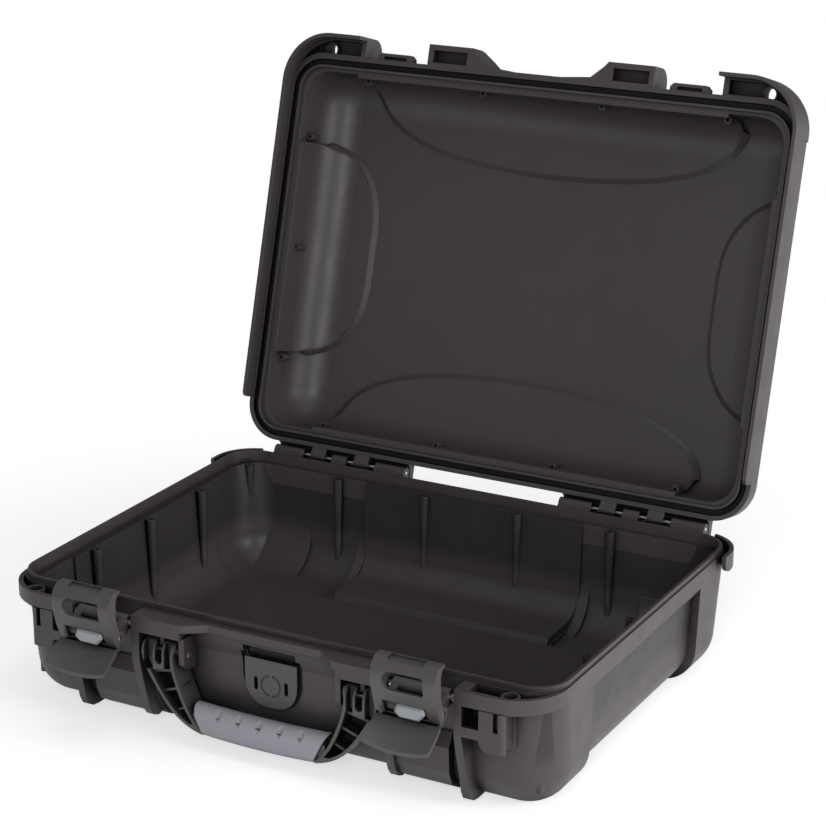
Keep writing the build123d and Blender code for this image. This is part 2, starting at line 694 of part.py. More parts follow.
with BuildPart() as lid_corner_flange:
    with BuildSketch(Plane.XY.offset(flange_low)) as corner_plan:
        with Locations((0, lid_flange_y)):
            Rectangle(lid_length, lid_flange_corner + 4, align=(Align.CENTER, Align.MIN))
        fillet(corner_plan.vertices().group_by(Axis.Y)[0], radius=lid_flange_corner)
        Rectangle(2 * skirt_inner_x, 4 * half_width, mode=Mode.SUBTRACT)
    extrude(amount=lid_flange_height)
    top_edges = lid_corner_flange.edges().group_by(Axis.Z)[-1]
    outer_edges = top_edges.filter_by(GeomType.CIRCLE) + top_edges.filter_by(Axis.X).sort_by(Axis.Y)[:2]
    outer_edges += top_edges.filter_by(Axis.Y).sort_by(lambda edge: abs(edge.center().X))[-2:]
    fillet(outer_edges, radius=lid_flange_round)
    # hollow underside around the padlock boss
    with BuildSketch(Plane.XY.offset(flange_low)):
        add(flange_pocket(lid_length, lid_flange_y, lid_flange_corner, lid_flange_wall, lid_width, lid_corner,
                          skirt_inner_x + lid_flange_wall))
    extrude(amount=lid_pocket_depth, mode=Mode.SUBTRACT)
    # collar around the padlock hole, and the recess behind it
    eye_low = flange_low + lid_pocket_depth - eye_collar
    eye_top = flange_low + lid_pocket_depth + eye_plate
    with Locations((padlock_x, padlock_y, eye_low), (-padlock_x, padlock_y, eye_low)):
        Cylinder(padlock_ring, eye_collar + 1, align=(Align.CENTER, Align.CENTER, Align.MIN))
    with Locations((padlock_x, padlock_y, eye_top), (-padlock_x, padlock_y, eye_top)):
        Cylinder(eye_relief, lid_flange_height, align=(Align.CENTER, Align.CENTER, Align.MIN),
                 mode=Mode.SUBTRACT)

with BuildPart() as lid_blocks:
    block_start, block_end = lid_block
    with BuildSketch(Plane.XY.offset(flange_low)):
        with BuildLine():
            Polyline(
                (block_start - 12, flange_root), (block_start - 12, lid_rim_y - 3.4),
                (block_start - 1, flange_y), (block_start + 2, lid_flange_y), (block_end, lid_flange_y),
                (block_end, flange_root), close=True,
            )
        make_face()
        mirror(about=Plane.YZ)
    extrude(amount=lid_flange_height)
    front_edges = lid_blocks.edges().group_by(Axis.Z)[-1].filter_by(Axis.X).group_by(Axis.Y)[0]
    fillet(front_edges, radius=lid_flange_round)
    with BuildSketch(Plane.XY.offset(flange_low)):
        for side in (1, -1):
            with Locations((side * (block_start + block_end + 2) / 2, lid_flange_y + lid_flange_wall)):
                Rectangle(block_end - block_start - 2 - 2 * lid_flange_wall, 10,
                          align=(Align.CENTER, Align.MIN))
    extrude(amount=pocket_depth, mode=Mode.SUBTRACT)
    # lip between the two blocks, above the handle
    with BuildSketch(Plane.XY.offset(flange_low)):
        with BuildLine():
            lip_side = block_start - 12
            Polyline(
                (-lip_side, flange_root), (-lip_side, lid_rim_y - 3.4), (-20, lid_rim_y - 1),
                (20, lid_rim_y - 1), (lip_side, lid_rim_y - 3.4), (lip_side, flange_root), close=True,
            )
        make_face()
    extrude(amount=dip_height + 4)

# Keeper bars that the latches pull on
keeper_y = lid_rim_y + keeper_back
with BuildPart() as keepers:
    for side in (1, -1):
        with BuildSketch(Plane.XZ.offset(-keeper_y)):
            with Locations((side * latch_centre, flange_low + 0.7 + keeper_height / 2)):
                Rectangle(2 * keeper_half, keeper_height)
        extrude(amount=keeper_depth)
    end_edges = keepers.edges().filter_by(Axis.Z).group_by(Axis.Y)[0]
    chamfer(end_edges, length=keeper_chamfer)
    with BuildSketch(Plane.XY.offset(flange_low + 0.7)):
        for side in (1, -1):
            with Locations((side * latch_centre, keeper_y - keeper_depth / 2)):
                SlotOverall(1.3 * keeper_half, 2.6)
    extrude(amount=4, mode=Mode.SUBTRACT)

with BuildPart() as lid_skirt:
    with BuildSketch(Plane.XY.offset(lid_parting - skirt_drop)) as skirt_plan:
        with Locations((0, lid_flange_y)):
            Rectangle(lid_length, skirt_end_y - lid_flange_y, align=(Align.CENTER, Align.MIN))
        fillet(skirt_plan.vertices().group_by(Axis.Y)[0], radius=lid_flange_corner)
        inner_half = lid_length / 2 - skirt_wall
        with BuildSketch(mode=Mode.PRIVATE) as skirt_inside:
            with Locations((0, flange_y - skirt_gap)):
                Rectangle(2 * inner_half, 2 * base_width, align=(Align.CENTER, Align.MIN))
            fillet(skirt_inside.vertices().group_by(Axis.Y)[0], radius=flange_corner + skirt_gap)
        add(skirt_inside.sketch, mode=Mode.SUBTRACT)
        with Locations((0, lid_flange_y)):
            Rectangle(2 * skirt_inner_x, 20, mode=Mode.SUBTRACT)
    extrude(amount=skirt_drop + 2)
    end_corners = lid_skirt.edges().filter_by(Axis.X).group_by(Axis.Z)[0].sort_by(Axis.Y)[-2:]
    fillet(end_corners, radius=skirt_round)

# Hinge arms with the heels that meet the base's shelf when the lid is open
heel_outline = (
    (hinge_y - 12, lid_parting), (hinge_y - 6.5, lid_parting), (hinge_y - 3, hinge_z - 3.4),
    (hinge_y, hinge_z), (hinge_y + knuckle_radius, hinge_z), (hinge_y + heel_reach, hinge_z + 1.8),
    (hinge_y + heel_reach, hinge_z + 12.8), (hinge_y - 12, hinge_z + 12.8),
)
web_outline = (
    (hinge_y - 12, lid_parting), (hinge_y - 8.5, lid_parting), (hinge_y - 6.2, hinge_z + 2.8),
    (hinge_y - 4.2, hinge_z + 4.8), (hinge_y, hinge_z + 6.2), (hinge_y + heel_reach, hinge_z + 6.8),
    (hinge_y + heel_reach, hinge_z + 12.8), (hinge_y - 12, hinge_z + 12.8),
)
with BuildPart() as lid_hinge_arms:
    for start, width in lid_knuckles:
        add(both_sides(plate_x(heel_outline, start, width)))
        add(both_sides(cylinder_x(hinge_y, hinge_z, knuckle_radius, start, width)))
    lid_bore = hinge_pin_radius + running_fit
    add(both_sides(cylinder_x(hinge_y, hinge_z, lid_bore, hinge_start, hinge_end - hinge_start)),
        mode=Mode.SUBTRACT)
    add(both_sides(plate_x(web_outline, hinge_start, hinge_end - hinge_start)))

lid_boss_face = parting + rib_height + lid_boss_rise
lid_bosses = [(side * (half_length - lid_end_boss_inset), y, lid_boss_face)
              for side in (1, -1) for y in lid_end_boss_y]
lid_bosses += [(side * x, way * (half_width - lid_wall_boss_inset), lid_boss_face)
               for side, way in corners for x in lid_wall_boss_x]

with BuildPart() as lid_shell:
    add(with_lens_pads(wall_length, wall_width, lid_corner, lid_top, lid_edge))
    add(drafted_block(lid_length, lid_width, lid_corner, lid_parting, band_top))
    add(slope_block((lid_length - band_taper, lid_width - band_taper), lid_corner, band_top,
                    (wall_length - blend_taper, wall_width - blend_taper), lid_corner, band_top + lid_blend))
    add(lid_corner_flange)
    add(lid_blocks)
    add(keepers)
    add(lid_skirt)
    add(lid_hinge_arms)
    add(with_lens_pads(lid_cavity_length, lid_cavity_width, seal_corner - 3, lid_floor, lid_cavity_edge),
        mode=Mode.SUBTRACT)
    # rim groove for the gasket
    with BuildSketch(Plane.XY.offset(lid_parting)):
        add(seal_ring(groove_width))
    extrude(amount=groove_depth, mode=Mode.SUBTRACT)
    # the wall inside the groove is a thin lip
    lip_inset = groove_width + 2 * lip_thickness
    with BuildSketch(Plane.XY.offset(lid_parting)):
        RectangleRounded(seal_length - lip_inset, seal_width - lip_inset, seal_corner - lip_inset / 2)
    extrude(amount=lip_step, mode=Mode.SUBTRACT)
    with Locations(*lid_bosses):
        Cone(boss_radius, 0.7 * boss_radius, lid_boss_length, align=(Align.CENTER, Align.CENTER, Align.MIN))
    with Locations(*lid_bosses):
        Cylinder(boss_hole, screw_depth, align=(Align.CENTER, Align.CENTER, Align.MIN), mode=Mode.SUBTRACT)
    with Locations((padlock_x, padlock_y, eye_low), (-padlock_x, padlock_y, eye_low)):
        Cylinder(padlock_hole, lid_flange_height, align=(Align.CENTER, Align.CENTER, Align.MIN),
                 mode=Mode.SUBTRACT)

lid_shell.part = opened(lid_shell.part)
lid_shell.part.label = "lid_shell"
export_step(lid_shell.part, "parts/lid_shell.step")

with BuildPart() as lid_gasket:
    with BuildSketch(Plane.XY.offset(lid_parting + groove_depth - gasket_height)):
        add(seal_ring(gasket_width))
    extrude(amount=gasket_height)

lid_gasket.part = opened(lid_gasket.part)
lid_gasket.part.label = "lid_gasket"
export_step(lid_gasket.part, "parts/lid_gasket.step")

# ---------------------------------------------------------------- steel pins
def write_pin(name, y, z, radius, start, end):
    """Straight pin along X."""
    with BuildPart() as pin:
        add(cylinder_x(y, z, radius, start, end - start))
        chamfer(pin.edges(), length=0.4)
    pin.part.label = name
    export_step(pin.part, f"parts/{name}.step")


for side_name, side in (("left", -1), ("right", 1)):
    for pin_name, y, z, radius, start, end in (
        ("hinge_pin", hinge_y, hinge_z, hinge_pin_radius, hinge_start, hinge_end),
        ("lever_pin", lever_pin_y, lever_pin_z, lever_pin_radius, post_inner_x, post_outer_x),
        ("claw_pin", claw_pin_y, claw_pin_z, claw_pin_radius, latch_centre - claw_half,
         latch_centre + claw_half),
        ("handle_pin", handle_y, handle_z, handle_pin_radius, ear_inner, handle_pin_end),
    ):
        low, high = sorted((side * start, side * end))
        write_pin(f"{pin_name}_{side_name}", y, z, radius, low, high)


# ---------------------------------------------------------------- latches
def latch_claw(centre):
    """Curved hook plate with two windows and side flanges that hang on the claw pin."""
    y, z = claw_pin_y, claw_pin_z
    outer = [(y - 3, z - 7), (y - 8, z + 1.5), (y - 11.5, z + 12.5), (y - 13.5, z + 26), (y - 9, z + 33.5),
             (y - 5.2, z + 36)]
    back = [(y + 1, z + 34.1), (y - 2.5, z + 32.5), (y - 4.5, z + 22.5), (y - 4, z + 13.5), (y - 1, z + 5)]
    inner = [(y - 3 + claw_plate, z - 7.5), (y - 8 + claw_plate, z + 1.5), (y - 11.5 + claw_plate, z + 12.5),
             (y - 13.5 + claw_plate, z + 25.5), (y - 7.5, z + 31.5), (y - 4.5, z + 36.1 - claw_plate)]
    with BuildPart() as claw:
        with BuildSketch(Plane.YZ.offset(centre - claw_half)):
            with BuildLine():
                Spline(*outer)
                Polyline(outer[-1], (y + 1, z + 36.1), back[0])
                Spline(*back)
                Polyline(back[-1], (y - 0.5, z - 6.5), outer[0])
            make_face()
            with Locations((y, z)):
                Circle(5)
        extrude(amount=2 * claw_half)
        with BuildSketch(Plane.YZ.offset(centre - claw_half + claw_plate)):
            with BuildLine():
                Spline(*inner)
                Polyline(inner[-1], (y + 8, z + 36.1 - claw_plate), (y + 8, z - 9), (y - 0.4, z - 9),
                         inner[0])
            make_face()
        extrude(amount=2 * (claw_half - claw_plate), mode=Mode.SUBTRACT)
        # windows: the upper one has a round left end, the lower one is open at its foot
        with BuildSketch(Plane.XZ.offset(-y)) as windows:
            with Locations((centre, z + 21.5)):
                Rectangle(31, 13.5)
            fillet(windows.vertices().group_by(Axis.X)[0], radius=6)
            fillet(windows.vertices().filter_by_position(Axis.X, centre + 15, centre + 16), radius=2)
            with Locations((centre + (window_left + window_right) / 2, z + 5)):
                Rectangle(window_right - window_left, 20, align=(Align.CENTER, Align.MAX))
            with Locations((centre - 1.25, z + 34.4)):
                Rectangle(27.5, 5, align=(Align.CENTER, Align.MIN))
        extrude(amount=20, mode=Mode.SUBTRACT)
        bore = claw_pin_radius + running_fit
        add(cylinder_x(y, z, bore, centre - claw_half, 2 * claw_half), mode=Mode.SUBTRACT)
    return claw.part


def latch_lever(centre):
    """Cam lever: hub on the post pin, saddle for the claw pin and a flared finger tab."""
    hub_y, hub_z = lever_pin_y, lever_pin_z
    y, z = claw_pin_y, claw_pin_z
    link_outline = ((hub_y + 1, hub_z + hub_radius - 0.3), (y, z + link_radius), (y, z - link_radius),
                    (y + 3, z - 8), (hub_y - 4, hub_z - 7), (hub_y - 1, hub_z - hub_radius + 0.3))
    saddle_left = centre + window_left + 0.5
    saddle_width = window_right - window_left - 1
    slot_low, slot_high = z - 5.4, z - 2.8
    saddle_outline = ((y - 3.5, z - 6), (y - 3.5, slot_low), (y - 0.5, slot_low), (y - 0.5, slot_high),
                      (y - 3.5, slot_high), (y - 3.5, z + 5.5), (y + 4, z + 5.5), (y + 4, z - 6))
    web_outline = ((y + 1, z - 4), (hub_y - 5, hub_z - 3), (hub_y - 2, hub_z - 5), (hub_y - 8, hub_z - 9),
                   (y + 4, z - 9), (y + 0.5, z - 9))
    root_outline = ((y + 0.5, z - 4), (y + 6, z - 4), (y + 6, z - 12.3), (y - 4.8, z - 11.1),
                    (y - 4.8, z - 7.9), (y + 0.5, z - 8.9))
    with BuildPart() as lever:
        for start, width in ((centre - lever_half, 5.6), (centre + lever_half - 5.6, 5.6)):
            add(plate_x(link_outline, start, width))
            add(cylinder_x(y, z, link_radius, start, width))
        add(cylinder_x(hub_y, hub_z, hub_radius, centre - lever_half, 2 * lever_half))
        add(plate_x(saddle_outline, saddle_left, saddle_width))
        add(plate_x(web_outline, centre - lever_half, 2 * lever_half))
        add(plate_x(root_outline, centre - lever_half, 2 * lever_half))
        # finger tab: flat at its root, sagging and thick at its lip
        for reach, top, half, sag, thickness in ((4.8, -7.6, tab_half - 1, 0.4, tab_thickness),
                                                 (15.0, -13.2, tab_half, 2.4, tab_thickness),
                                                 (24.0, -18.5, tab_half, 4.0, tab_thickness - 0.5)):
            with BuildSketch(Plane.XZ.offset(-y + reach)):
                with BuildLine():
                    high = z + top
                    low = high - thickness
                    ThreePointArc((centre - half, high), (centre, high - sag), (centre + half, high))
                    Line((centre + half, high), (centre + half, low))
                    ThreePointArc((centre + half, low), (centre, low - sag), (centre - half, low))
                    Line((centre - half, low), (centre - half, high))
                make_face()
        loft()
        add(cylinder_x(y, z, claw_pin_radius, centre - lever_half, 2 * lever_half), mode=Mode.SUBTRACT)
        bore = lever_pin_radius + running_fit
        add(cylinder_x(hub_y, hub_z, bore, centre - lever_half, 2 * lever_half), mode=Mode.SUBTRACT)
    return lever.part


def slide_lock(centre):
    """Grey button in the claw's lower window, guided by a tongue in the lever's saddle."""
    y = claw_pin_y - 3.5 - slide_gap
    z = claw_pin_z - 0.5
    right = centre + window_right - 0.5
    left = right - slide_length
    high = z + slide_height / 2
    low = z - slide_height / 2
    with BuildPart() as slide:
        with BuildSketch(Plane.XZ.offset(-y)) as button:
            with BuildLine():
                Polyline((left + 2.5, high), (right - 1, high), (right, z + 0.5), (right - 5, low),
                         (left + 5, low), (left, z - 1.5), close=True)
            make_face()
            fillet(button.vertices(), radius=slide_round)
        extrude(amount=slide_depth)
        chamfer(slide.faces().sort_by(Axis.Y)[0].edges(), length=slide_bevel)
        with BuildSketch(Plane.XZ.offset(-y - 2.7)):
            with Locations(((left + right) / 2, claw_pin_z - 4.1)):
                Rectangle(0.6 * slide_length, 1.8)
        extrude(amount=4)
    return slide.part


for side_name, centre in (("left", -latch_centre), ("right", latch_centre)):
    for piece_name, piece in (("latch_claw", latch_claw(centre)), ("latch_lever", latch_lever(centre)),
                              ("slide_lock", slide_lock(centre))):
        piece.label = f"{piece_name}_{side_name}"
        export_step(piece, f"parts/{piece.label}.step")

# ---------------------------------------------------------------- handle
arm_outer = [(96.5, -2.0), (92.0, -14.0), (84.0, -27.0), (72.0, -42.0), (59.0, -51.0), (46.0, -55.0)]
arm_inner = [(52.0, -47.5), (59.5, -36.0), (65.5, -22.0), (69.5, -9.0), (70.5, 0.0)]
cross_ribs = (((90.0, -14.5), (70.0, -10.5)), ((80.5, -28.0), (64.0, -22.5)), ((70.0, -41.0), (58.0, -36.0)))
cross_rib = 2.0
core_middle = -45.0
grip_end_top = (55.0, -34.0)
grip_end_foot = (45.0, -55.5)


def pivot_plane(y):
    """XZ plane at y, facing the front, with its origin level with the handle's pivot."""
    return Plane(origin=(0, y, handle_z), x_dir=(1, 0, 0), z_dir=(0, -1, 0))


skin_outer = beside(arm_outer, -arm_wall)
skin_inner = beside(arm_inner, -arm_wall)
notch_left = notch_x - notch_width / 2
notch_right = notch_x + notch_width / 2
lobe_roof = handle_round - lobe_wall

with BuildPart() as handle_frame:
    with BuildSketch(pivot_plane(handle_y + arm_back)):
        with BuildLine():
            Spline(*arm_outer)
            Line(arm_outer[-1], arm_inner[0])
            Spline(*arm_inner)
            Polyline(arm_inner[-1], (68.6, handle_round - 3), (70.6, handle_round),
                     (notch_left - 1.5, handle_round), (notch_left, handle_round - 2), (notch_left, -5.5),
                     (notch_x - 1.2, -7.5), (notch_x + 1.2, -7.5), (notch_right, -5.5),
                     (notch_right, handle_round - 2), (notch_right + 1.5, handle_round),
                     (94.0, handle_round), (96.5, handle_round - 4), arm_outer[0])
        make_face()
        mirror(about=Plane.YZ)
    extrude(amount=arm_back + handle_round)
    # the top is round about the pivot
    with BuildSketch(Plane.YZ.offset(-post_inner_x)):
        with Locations((handle_y, handle_z)):
            Circle(handle_round)
            Rectangle(2 * handle_round, 60, align=(Align.CENTER, Align.MAX))
    extrude(amount=2 * post_inner_x, mode=Mode.INTERSECT)
    # pockets open to the front: one in each lobe, and a deep one down the arm
    with BuildSketch(pivot_plane(handle_y - hub_floor)):
        for low_x, high_x in ((arm_inner[-1][0] + lobe_wall, notch_left - lobe_wall),
                              (notch_right + lobe_wall, arm_outer[0][0] - lobe_wall)):
            with Locations(((low_x + high_x) / 2, lobe_roof)):
                Rectangle(high_x - low_x, lobe_roof + 13, align=(Align.CENTER, Align.MAX))
        mirror(about=Plane.YZ)
    extrude(amount=handle_round, mode=Mode.SUBTRACT)
    with BuildSketch(pivot_plane(handle_y + arm_floor)):
        with BuildLine():
            Spline(*skin_outer[1:-1])
            Line(skin_outer[-2], skin_inner[0])
            Spline(*skin_inner[:-1])
            Line(skin_inner[-2], skin_outer[1])
        make_face()
        mirror(about=Plane.YZ)
    extrude(amount=arm_floor + handle_round, mode=Mode.SUBTRACT)
    for outer_end, inner_end in cross_ribs:
        with BuildSketch(pivot_plane(handle_y + arm_floor + 1)):
            with BuildLine():
                Polyline(outer_end, inner_end, (inner_end[0], inner_end[1] - cross_rib),
                         (outer_end[0], outer_end[1] - cross_rib), close=True)
            make_face()
            mirror(about=Plane.YZ)
        extrude(amount=arm_floor + 7)
    # core bar under the grip
    with BuildSketch(pivot_plane(handle_y + core_back)):
        with Locations((0, core_middle)):
            Rectangle(2 * (grip_end_foot[0] + core_root), 2 * core_half_height)
    extrude(amount=core_front)
    for start in (-handle_pin_end, ear_inner):
        bore = handle_pin_radius + running_fit
        add(cylinder_x(handle_y, handle_z, bore, start, handle_pin_end - ear_inner), mode=Mode.SUBTRACT)

brow_lift = (groove_half - groove_sink) / sin(radians(45)) / 2
brow_y = handle_y - grip_front + grip_brow * (1 - sin(radians(45))) - brow_lift
brow_z = handle_z + grip_end_top[1] - grip_brow * (1 - sin(radians(45))) + brow_lift

with BuildPart() as handle_grip:
    with BuildSketch(pivot_plane(handle_y + grip_back)):
        with BuildLine():
            (top_x, top_z), (foot_x, foot_z) = grip_end_top, grip_end_foot
            ThreePointArc((-top_x, top_z), (0, top_z - grip_sag), (top_x, top_z))
            Line((top_x, top_z), (foot_x, foot_z))
            ThreePointArc((foot_x, foot_z), (0, foot_z - grip_sag), (-foot_x, foot_z))
            Line((-foot_x, foot_z), (-top_x, top_z))
        make_face()
    extrude(amount=grip_back + grip_front)
    long_edges = handle_grip.edges().filter_by(GeomType.CIRCLE).sort_by(Axis.Z)
    fillet(long_edges[:2] + long_edges[2:].sort_by(Axis.Y)[1:], radius=grip_round)
    brow = handle_grip.edges().group_by(Axis.Y)[0].filter_by(GeomType.CIRCLE).sort_by(Axis.Z)[-1]
    fillet(brow, radius=grip_brow)
    # shallow finger grooves down the front
    for index in range(finger_grooves):
        groove_x = (index - (finger_grooves - 1) / 2) * groove_pitch
        sag = grip_sag * (1 - (groove_x / grip_end_top[0]) ** 2)
        with BuildSketch(Plane(origin=(groove_x, brow_y, brow_z - sag), x_dir=(1, 0, 0), z_dir=(0, -1, -1))):
            Circle(groove_half)
        extrude(amount=groove_run, both=True, mode=Mode.SUBTRACT)
    add(handle_frame, mode=Mode.SUBTRACT)

for handle_part, part_name in ((handle_frame, "handle_frame"), (handle_grip, "handle_grip")):
    handle_part.part.label = part_name
    export_step(handle_part.part, f"parts/{part_name}.step")

# ---------------------------------------------------------------- pressure vent
def front_plane(y):
    """XZ plane at y, facing the front, with its origin level with the vent's middle."""
    return Plane(origin=(0, y, vent_height), x_dir=(1, 0, 0), z_dir=(0, -1, 0))


shield_back = vent_wall_y - shield_standoff
flange_back = vent_wall_y + vent_pocket
nut_back = seat_y + vent_gasket_thickness + vent_nut_thickness
with BuildPart() as vent_cover:
    with BuildSketch(front_plane(shield_back)):
        add(shield_outline(shield_half))
    extrude(amount=shield_thickness)
    with BuildSketch(front_plane(shield_back)):
        with Locations((-slot_pitch, 0), (slot_pitch, 0)):
            SlotOverall(10, 3, rotation=90)
        with Locations((0, shield_rise)):
            Rectangle(3 * shield_half, 2 * slot_gap)
    extrude(amount=shield_thickness, mode=Mode.SUBTRACT)
    with BuildSketch(front_plane(shield_back - shield_thickness + ring_depth)):
        Circle(ring_outer)
        Circle(ring_inner, mode=Mode.SUBTRACT)
        Rectangle(2.6, 2 * ring_outer, mode=Mode.SUBTRACT)
    extrude(amount=ring_depth, mode=Mode.SUBTRACT)

with BuildPart() as vent_body:
    with BuildSketch(front_plane(flange_back)):
        Circle(vent_flange)
    extrude(amount=flange_back - shield_back)
    with BuildSketch(front_plane(nut_back + 1)):
        Circle(vent_shank)
    extrude(amount=nut_back + 1 - flange_back)
    with BuildSketch(front_plane(nut_back + 1)):
        Circle(vent_bore)
    extrude(amount=nut_back + 1 - shield_back, mode=Mode.SUBTRACT)
    with BuildSketch(front_plane(shield_back + 0.4 + vent_membrane_thickness)):
        Circle(vent_membrane_radius)
    extrude(amount=0.4 + vent_membrane_thickness, mode=Mode.SUBTRACT)

with BuildPart() as vent_membrane:
    with BuildSketch(front_plane(shield_back + 0.4 + vent_membrane_thickness)):
        Circle(vent_membrane_radius)
    extrude(amount=vent_membrane_thickness)

with BuildPart() as vent_gasket:
    with BuildSketch(front_plane(seat_y + vent_gasket_thickness)):
        Circle(vent_flange)
        Circle(vent_shank, mode=Mode.SUBTRACT)
    extrude(amount=vent_gasket_thickness)

with BuildPart() as vent_nut:
    with BuildSketch(front_plane(nut_back)):
        RegularPolygon(vent_nut_size / 2, 6, major_radius=False)
        Circle(vent_shank, mode=Mode.SUBTRACT)
    extrude(amount=vent_nut_thickness)

for vent_part, part_name in (
    (vent_cover, "vent_cover"), (vent_body, "vent_body"), (vent_membrane, "vent_membrane"),
    (vent_gasket, "vent_gasket"), (vent_nut, "vent_nut"),
):
    vent_part.part.label = part_name
    export_step(vent_part.part, f"parts/{part_name}.step")
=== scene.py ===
"""Looks, light and camera of the laptop hard case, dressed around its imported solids."""

import json
import math

import bmesh
import bpy
import numpy as np
from mathutils import Matrix, Vector


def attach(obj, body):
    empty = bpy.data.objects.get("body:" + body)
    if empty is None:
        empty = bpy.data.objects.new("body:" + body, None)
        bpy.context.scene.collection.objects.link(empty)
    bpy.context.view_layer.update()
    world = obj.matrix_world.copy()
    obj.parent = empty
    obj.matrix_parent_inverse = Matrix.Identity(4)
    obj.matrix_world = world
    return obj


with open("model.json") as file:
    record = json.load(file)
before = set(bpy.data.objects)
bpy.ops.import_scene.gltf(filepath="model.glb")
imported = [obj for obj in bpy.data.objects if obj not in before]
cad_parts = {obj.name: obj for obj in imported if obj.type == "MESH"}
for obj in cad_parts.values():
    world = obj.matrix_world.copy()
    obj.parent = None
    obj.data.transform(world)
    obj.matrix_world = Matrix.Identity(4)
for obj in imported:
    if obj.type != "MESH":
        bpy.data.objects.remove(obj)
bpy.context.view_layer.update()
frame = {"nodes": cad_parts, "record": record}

MM = 0.001


# ---------------------------------------------------------------- shader helpers

def linear(sheet_colour):
    """sRGB hex to linear: up to 0.04045 divided by 12.92, above it a power of 2.4."""
    parts = [int(sheet_colour[k:k + 2], 16) / 255 for k in (1, 3, 5)]
    flat = [c / 12.92 if c <= 0.04045 else ((c + 0.055) / 1.055) ** 2.4 for c in parts]
    return (*flat, 1.0)


def add(tree, kind, inputs=None, **settings):
    """Adds one shader node with its settings, socket values and links."""
    made = tree.nodes.new("ShaderNode" + kind)
    for name, value in settings.items():
        setattr(made, name, value)
    for socket, value in (inputs or {}).items():
        if isinstance(value, bpy.types.NodeSocket):
            tree.links.new(value, made.inputs[socket])
        else:
            made.inputs[socket].default_value = value
    return made


def maths(tree, operation, *values):
    """What one Math node makes of one or two values."""
    return add(tree, "Math", dict(enumerate(values)), operation=operation).outputs[0]


def ranged(tree, value, low, high, first=0.0, last=1.0):
    """The value, taken from low and high to first and last, and held at both ends."""
    limits = {0: value, 1: low, 2: high, 3: first, 4: last}
    return add(tree, "MapRange", limits).outputs[0]


def blended(tree, share, first, second):
    """A colour between two: 6 and 7 are a Mix node's colours and 2 is its colour result."""
    return add(tree, "Mix", {0: share, 6: first, 7: second}, data_type="RGBA").outputs[2]


def fresh(name):
    """An empty node material and its output."""
    material = bpy.data.materials.new(name)
    material.use_nodes = True
    material.node_tree.nodes.clear()
    return material, material.node_tree, add(material.node_tree, "OutputMaterial")


# ---------------------------------------------------------------- camera and studio

CAMERA_PLACE = Vector((861.75, -1528.87, 807.02)) * MM
CAMERA_RIGHT = Vector((0.878183, 0.478324, 0.0))
CAMERA_AHEAD = Vector((-0.452873, 0.831499, -0.321738))
SENSOR_WIDTH = 36.0      # millimetres, as LENS is
LENS = 109.4
CAMERA_REACH = 50.0      # metres, beyond the far edge of the sweep


def place_camera():
    """The camera looks along CAMERA_AHEAD with its right side level."""
    data = bpy.data.cameras.new("camera")
    data.sensor_width = SENSOR_WIDTH
    data.lens = LENS
    data.clip_end = CAMERA_REACH
    camera = bpy.data.objects.new("camera", data)
    bpy.context.scene.collection.objects.link(camera)
    ahead = CAMERA_AHEAD.normalized()
    right = CAMERA_RIGHT.normalized()
    up = right.cross(ahead)
    turn = Matrix((right, up, -ahead)).transposed().to_4x4()
    camera.matrix_world = Matrix.Translation(CAMERA_PLACE) @ turn
    bpy.context.scene.camera = camera


def seen_directly(tree):
    """One for rays from the camera, mirrors and glass, nought for the rest."""
    path = add(tree, "LightPath").outputs
    mirrored = maths(tree, "MAXIMUM", path["Is Camera Ray"], path["Is Glossy Ray"])
    return maths(tree, "MAXIMUM", mirrored, path["Is Transmission Ray"])


WHITE = (1, 1, 1, 1)
BLACK = (0, 0, 0, 1)
FLOOR_SIDE = 16.0        # metres
FLOOR_TONE = "#dedde0"
FLOOR_LIFT = 0.58        # glow added to the paper, so that it reads as lit from all round
PAPER_NEAR = 0.34        # metres from the middle, where the sweep starts to wash out
PAPER_FAR = 0.62         # and where it is plain white
STUDIO_TONE = "#f6f4f8"
STUDIO_LEVEL = 0.24

# Name, place, point aimed at, width, height (all metres) and watts of each soft box.
SOFT_BOXES = (
    ("box_right", (1.8, 0.05, 0.5), (0.0, 0.0, 0.10), 1.0, 0.8, 27.0),
    ("box_top", (0.5, -0.2, 2.2), (0.0, 0.1, 0.10), 1.4, 1.0, 7.0),
    ("box_front", (0.8, -2.0, 0.9), (0.1, 0.0, 0.15), 0.9, 1.1, 24.0),
)


def lay_floor():
    """A flat square of pale paper that keeps the object's shadow and is white further out."""
    half = FLOOR_SIDE / 2
    corners = [(-half, -half, 0), (half, -half, 0), (half, half, 0), (-half, half, 0)]
    mesh = bpy.data.meshes.new("studio_floor")
    mesh.from_pydata(corners, [], [(0, 1, 2, 3)])
    floor = bpy.data.objects.new("studio_floor", mesh)
    bpy.context.scene.collection.objects.link(floor)
    material, tree, out = fresh("white_paper_sweep")
    paper = add(tree, "BsdfDiffuse", {"Color": linear(FLOOR_TONE)})
    direct = seen_directly(tree)
    lift = maths(tree, "MULTIPLY", direct, FLOOR_LIFT)
    glow = add(tree, "Emission", {"Color": WHITE, "Strength": lift})
    both = add(tree, "AddShader", {0: paper.outputs[0], 1: glow.outputs[0]})
    place = add(tree, "TexCoord").outputs["Object"]
    away = add(tree, "VectorMath", {0: place}, operation="LENGTH")
    wash = add(tree, "MapRange", {0: away.outputs["Value"], 1: PAPER_NEAR, 2: PAPER_FAR},
               interpolation_type="SMOOTHSTEP")
    bare = maths(tree, "MULTIPLY", direct, wash.outputs[0])
    plain = add(tree, "Emission", {"Color": WHITE, "Strength": 1.0})
    sweep = add(tree, "MixShader", {0: bare, 1: both.outputs[0], 2: plain.outputs[0]})
    tree.links.new(sweep.outputs[0], out.inputs["Surface"])
    mesh.materials.append(material)


